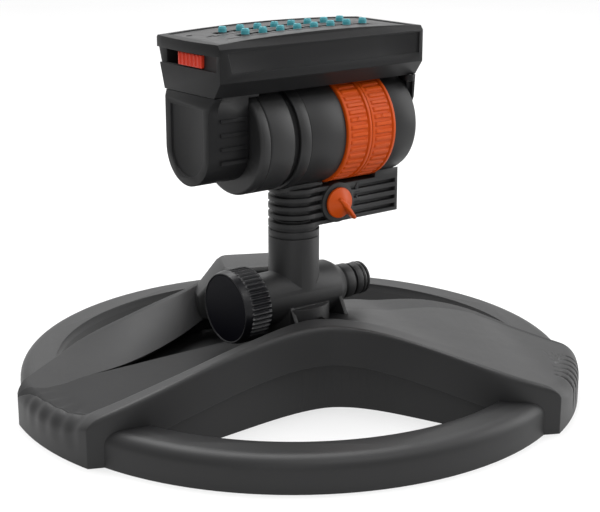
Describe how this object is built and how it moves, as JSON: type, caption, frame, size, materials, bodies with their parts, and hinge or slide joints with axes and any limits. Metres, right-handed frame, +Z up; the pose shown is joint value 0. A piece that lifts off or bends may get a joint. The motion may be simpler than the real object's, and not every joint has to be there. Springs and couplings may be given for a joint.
{
  "type": "oscillating sprinkler",
  "caption": "Oscillating sprinkler: spray bar swinging on a geared barrel, with two range rings, flow knob and hose nipple, on a broad ring base.",
  "frame": {"origin": "centre of the ring foot, on the ground", "axes": "+Z up, +X along the base from its left foot to its right foot, the barrel and the hose nipple 28 degrees anticlockwise from +X"},
  "size_m": [0.2922, 0.29, 0.1917],
  "materials": {
    "grey_plastic": "fine grain",
    "black_plastic": "satin",
    "orange_plastic": "satin",
    "red_plastic": "gloss",
    "teal_rubber": "soft",
    "seal_rubber": "soft",
    "white_plastic": "moulded",
    "steel": "bright"
  },
  "bodies": {
    "base": {"base_ring": "grey_plastic", "saddle_cover": "grey_plastic", "saddle_frame": "black_plastic", "base_screws": "steel", "tee_body": "grey_plastic", "hose_o_ring": "seal_rubber", "filter_screen": "white_plastic", "column_seal": "seal_rubber", "arm": "grey_plastic", "gear_housing": "grey_plastic", "clamp_ring": "grey_plastic", "pivot_collar": "grey_plastic", "end_housing": "grey_plastic", "stator_plate": "white_plastic", "ring_gear": "white_plastic", "hub_seal": "seal_rubber"},
    "cap": {"end_cap": "black_plastic", "cap_seal": "seal_rubber"},
    "knob": {"flow_knob": "orange_plastic", "valve_spool": "white_plastic", "valve_seal": "seal_rubber"},
    "left_ring": {"left_range_ring": "orange_plastic"},
    "right_ring": {"right_range_ring": "orange_plastic"},
    "selector": {"jet_selector": "orange_plastic"},
    "turbine": {"turbine_wheel": "white_plastic", "turbine_shaft": "steel", "input_pinion": "white_plastic"},
    "first_carrier": {"carrier_1": "white_plastic"},
    "head": {"output_hub": "white_plastic", "bar_body": "grey_plastic", "top_cover": "black_plastic", "left_cheek": "grey_plastic", "right_cheek": "grey_plastic", "pivot_bush": "white_plastic", "manifold": "white_plastic", "bar_screws": "steel"},
    "front_nozzles": {"front_nozzle_rail": "teal_rubber"},
    "rear_nozzles": {"rear_nozzle_rail": "teal_rubber"},
    "slider": {"width_slider": "red_plastic"},
    "planet_wheel_1a": {"planet_1a": "white_plastic"},
    "planet_wheel_1b": {"planet_1b": "white_plastic"},
    "planet_wheel_1c": {"planet_1c": "white_plastic"},
    "planet_wheel_2a": {"planet_2a": "white_plastic"},
    "planet_wheel_2b": {"planet_2b": "white_plastic"},
    "planet_wheel_2c": {"planet_2c": "white_plastic"}
  },
  "joints": [
    {"name": "head_sweep", "type": "hinge", "parent": "base", "child": "head", "pos_m": [0, 0, 0.1359], "axis": [0.8829, 0.4695, 0], "range_deg": [-45, 45]},
    {"name": "first_carrier_spin", "type": "hinge", "parent": "base", "child": "first_carrier", "pos_m": [0, 0, 0.1359], "axis": [0.8829, 0.4695, 0], "range_deg": [-181, 181]},
    {"name": "turbine_spin", "type": "hinge", "parent": "base", "child": "turbine", "pos_m": [0, 0, 0.1359], "axis": [0.8829, 0.4695, 0], "range_deg": [-721, 721]},
    {"name": "planet_1a_spin", "type": "hinge", "parent": "first_carrier", "child": "planet_wheel_1a", "pos_m": [0, 0, 0.1239], "axis": [0.8829, 0.4695, 0], "range_deg": [-541, 541]},
    {"name": "planet_1b_spin", "type": "hinge", "parent": "first_carrier", "child": "planet_wheel_1b", "pos_m": [-0.00488, 0.00918, 0.1419], "axis": [0.8829, 0.4695, 0], "range_deg": [-541, 541]},
    {"name": "planet_1c_spin", "type": "hinge", "parent": "first_carrier", "child": "planet_wheel_1c", "pos_m": [0.00488, -0.00918, 0.1419], "axis": [0.8829, 0.4695, 0], "range_deg": [-541, 541]},
    {"name": "planet_2a_spin", "type": "hinge", "parent": "head", "child": "planet_wheel_2a", "pos_m": [0, 0, 0.1239], "axis": [0.8829, 0.4695, 0], "range_deg": [-136, 136]},
    {"name": "planet_2b_spin", "type": "hinge", "parent": "head", "child": "planet_wheel_2b", "pos_m": [-0.00488, 0.00918, 0.1419], "axis": [0.8829, 0.4695, 0], "range_deg": [-136, 136]},
    {"name": "planet_2c_spin", "type": "hinge", "parent": "head", "child": "planet_wheel_2c", "pos_m": [0.00488, -0.00918, 0.1419], "axis": [0.8829, 0.4695, 0], "range_deg": [-136, 136]},
    {"name": "left_range", "type": "hinge", "parent": "base", "child": "left_ring", "pos_m": [0, 0, 0.1359], "axis": [0.8829, 0.4695, 0], "range_deg": [-30, 30]},
    {"name": "right_range", "type": "hinge", "parent": "base", "child": "right_ring", "pos_m": [0, 0, 0.1359], "axis": [0.8829, 0.4695, 0], "range_deg": [-30, 30]},
    {"name": "flow_turn", "type": "hinge", "parent": "base", "child": "knob", "pos_m": [0.01669, 0.00887, 0.0978], "axis": [-0.4695, 0.8829, 0], "range_deg": [0, 90]},
    {"name": "cap_turn", "type": "hinge", "parent": "base", "child": "cap", "pos_m": [-0.03267, -0.01737, 0.0488], "axis": [0.8829, 0.4695, 0], "range_deg": [0, 360]},
    {"name": "jet_select", "type": "hinge", "parent": "base", "child": "selector", "pos_m": [0, 0, 0.1359], "axis": [0.8829, 0.4695, 0], "range_deg": [-20, 20]},
    {"name": "width_slide", "type": "slide", "parent": "head", "child": "slider", "axis": [-0.4695, 0.8829, 0], "range_m": [0, 0.011]},
    {"name": "front_nozzle_slide", "type": "slide", "parent": "head", "child": "front_nozzles", "axis": [0.8829, 0.4695, 0], "range_m": [0, 0.0023]},
    {"name": "rear_nozzle_slide", "type": "slide", "parent": "head", "child": "rear_nozzles", "axis": [0.8829, 0.4695, 0], "range_m": [-0.0023, 0]}
  ],
  "couplings": [
    {"joint": "first_carrier_spin", "follows": "head_sweep", "ratio": 4},
    {"joint": "turbine_spin", "follows": "head_sweep", "ratio": 16},
    {"joint": "planet_1a_spin", "follows": "head_sweep", "ratio": -12},
    {"joint": "planet_1b_spin", "follows": "head_sweep", "ratio": -12},
    {"joint": "planet_1c_spin", "follows": "head_sweep", "ratio": -12},
    {"joint": "planet_2a_spin", "follows": "head_sweep", "ratio": -3},
    {"joint": "planet_2b_spin", "follows": "head_sweep", "ratio": -3},
    {"joint": "planet_2c_spin", "follows": "head_sweep", "ratio": -3},
    {"joint": "front_nozzle_slide", "follows": "width_slide", "ratio": 0.2},
    {"joint": "rear_nozzle_slide", "follows": "width_slide", "ratio": -0.2}
  ]
}
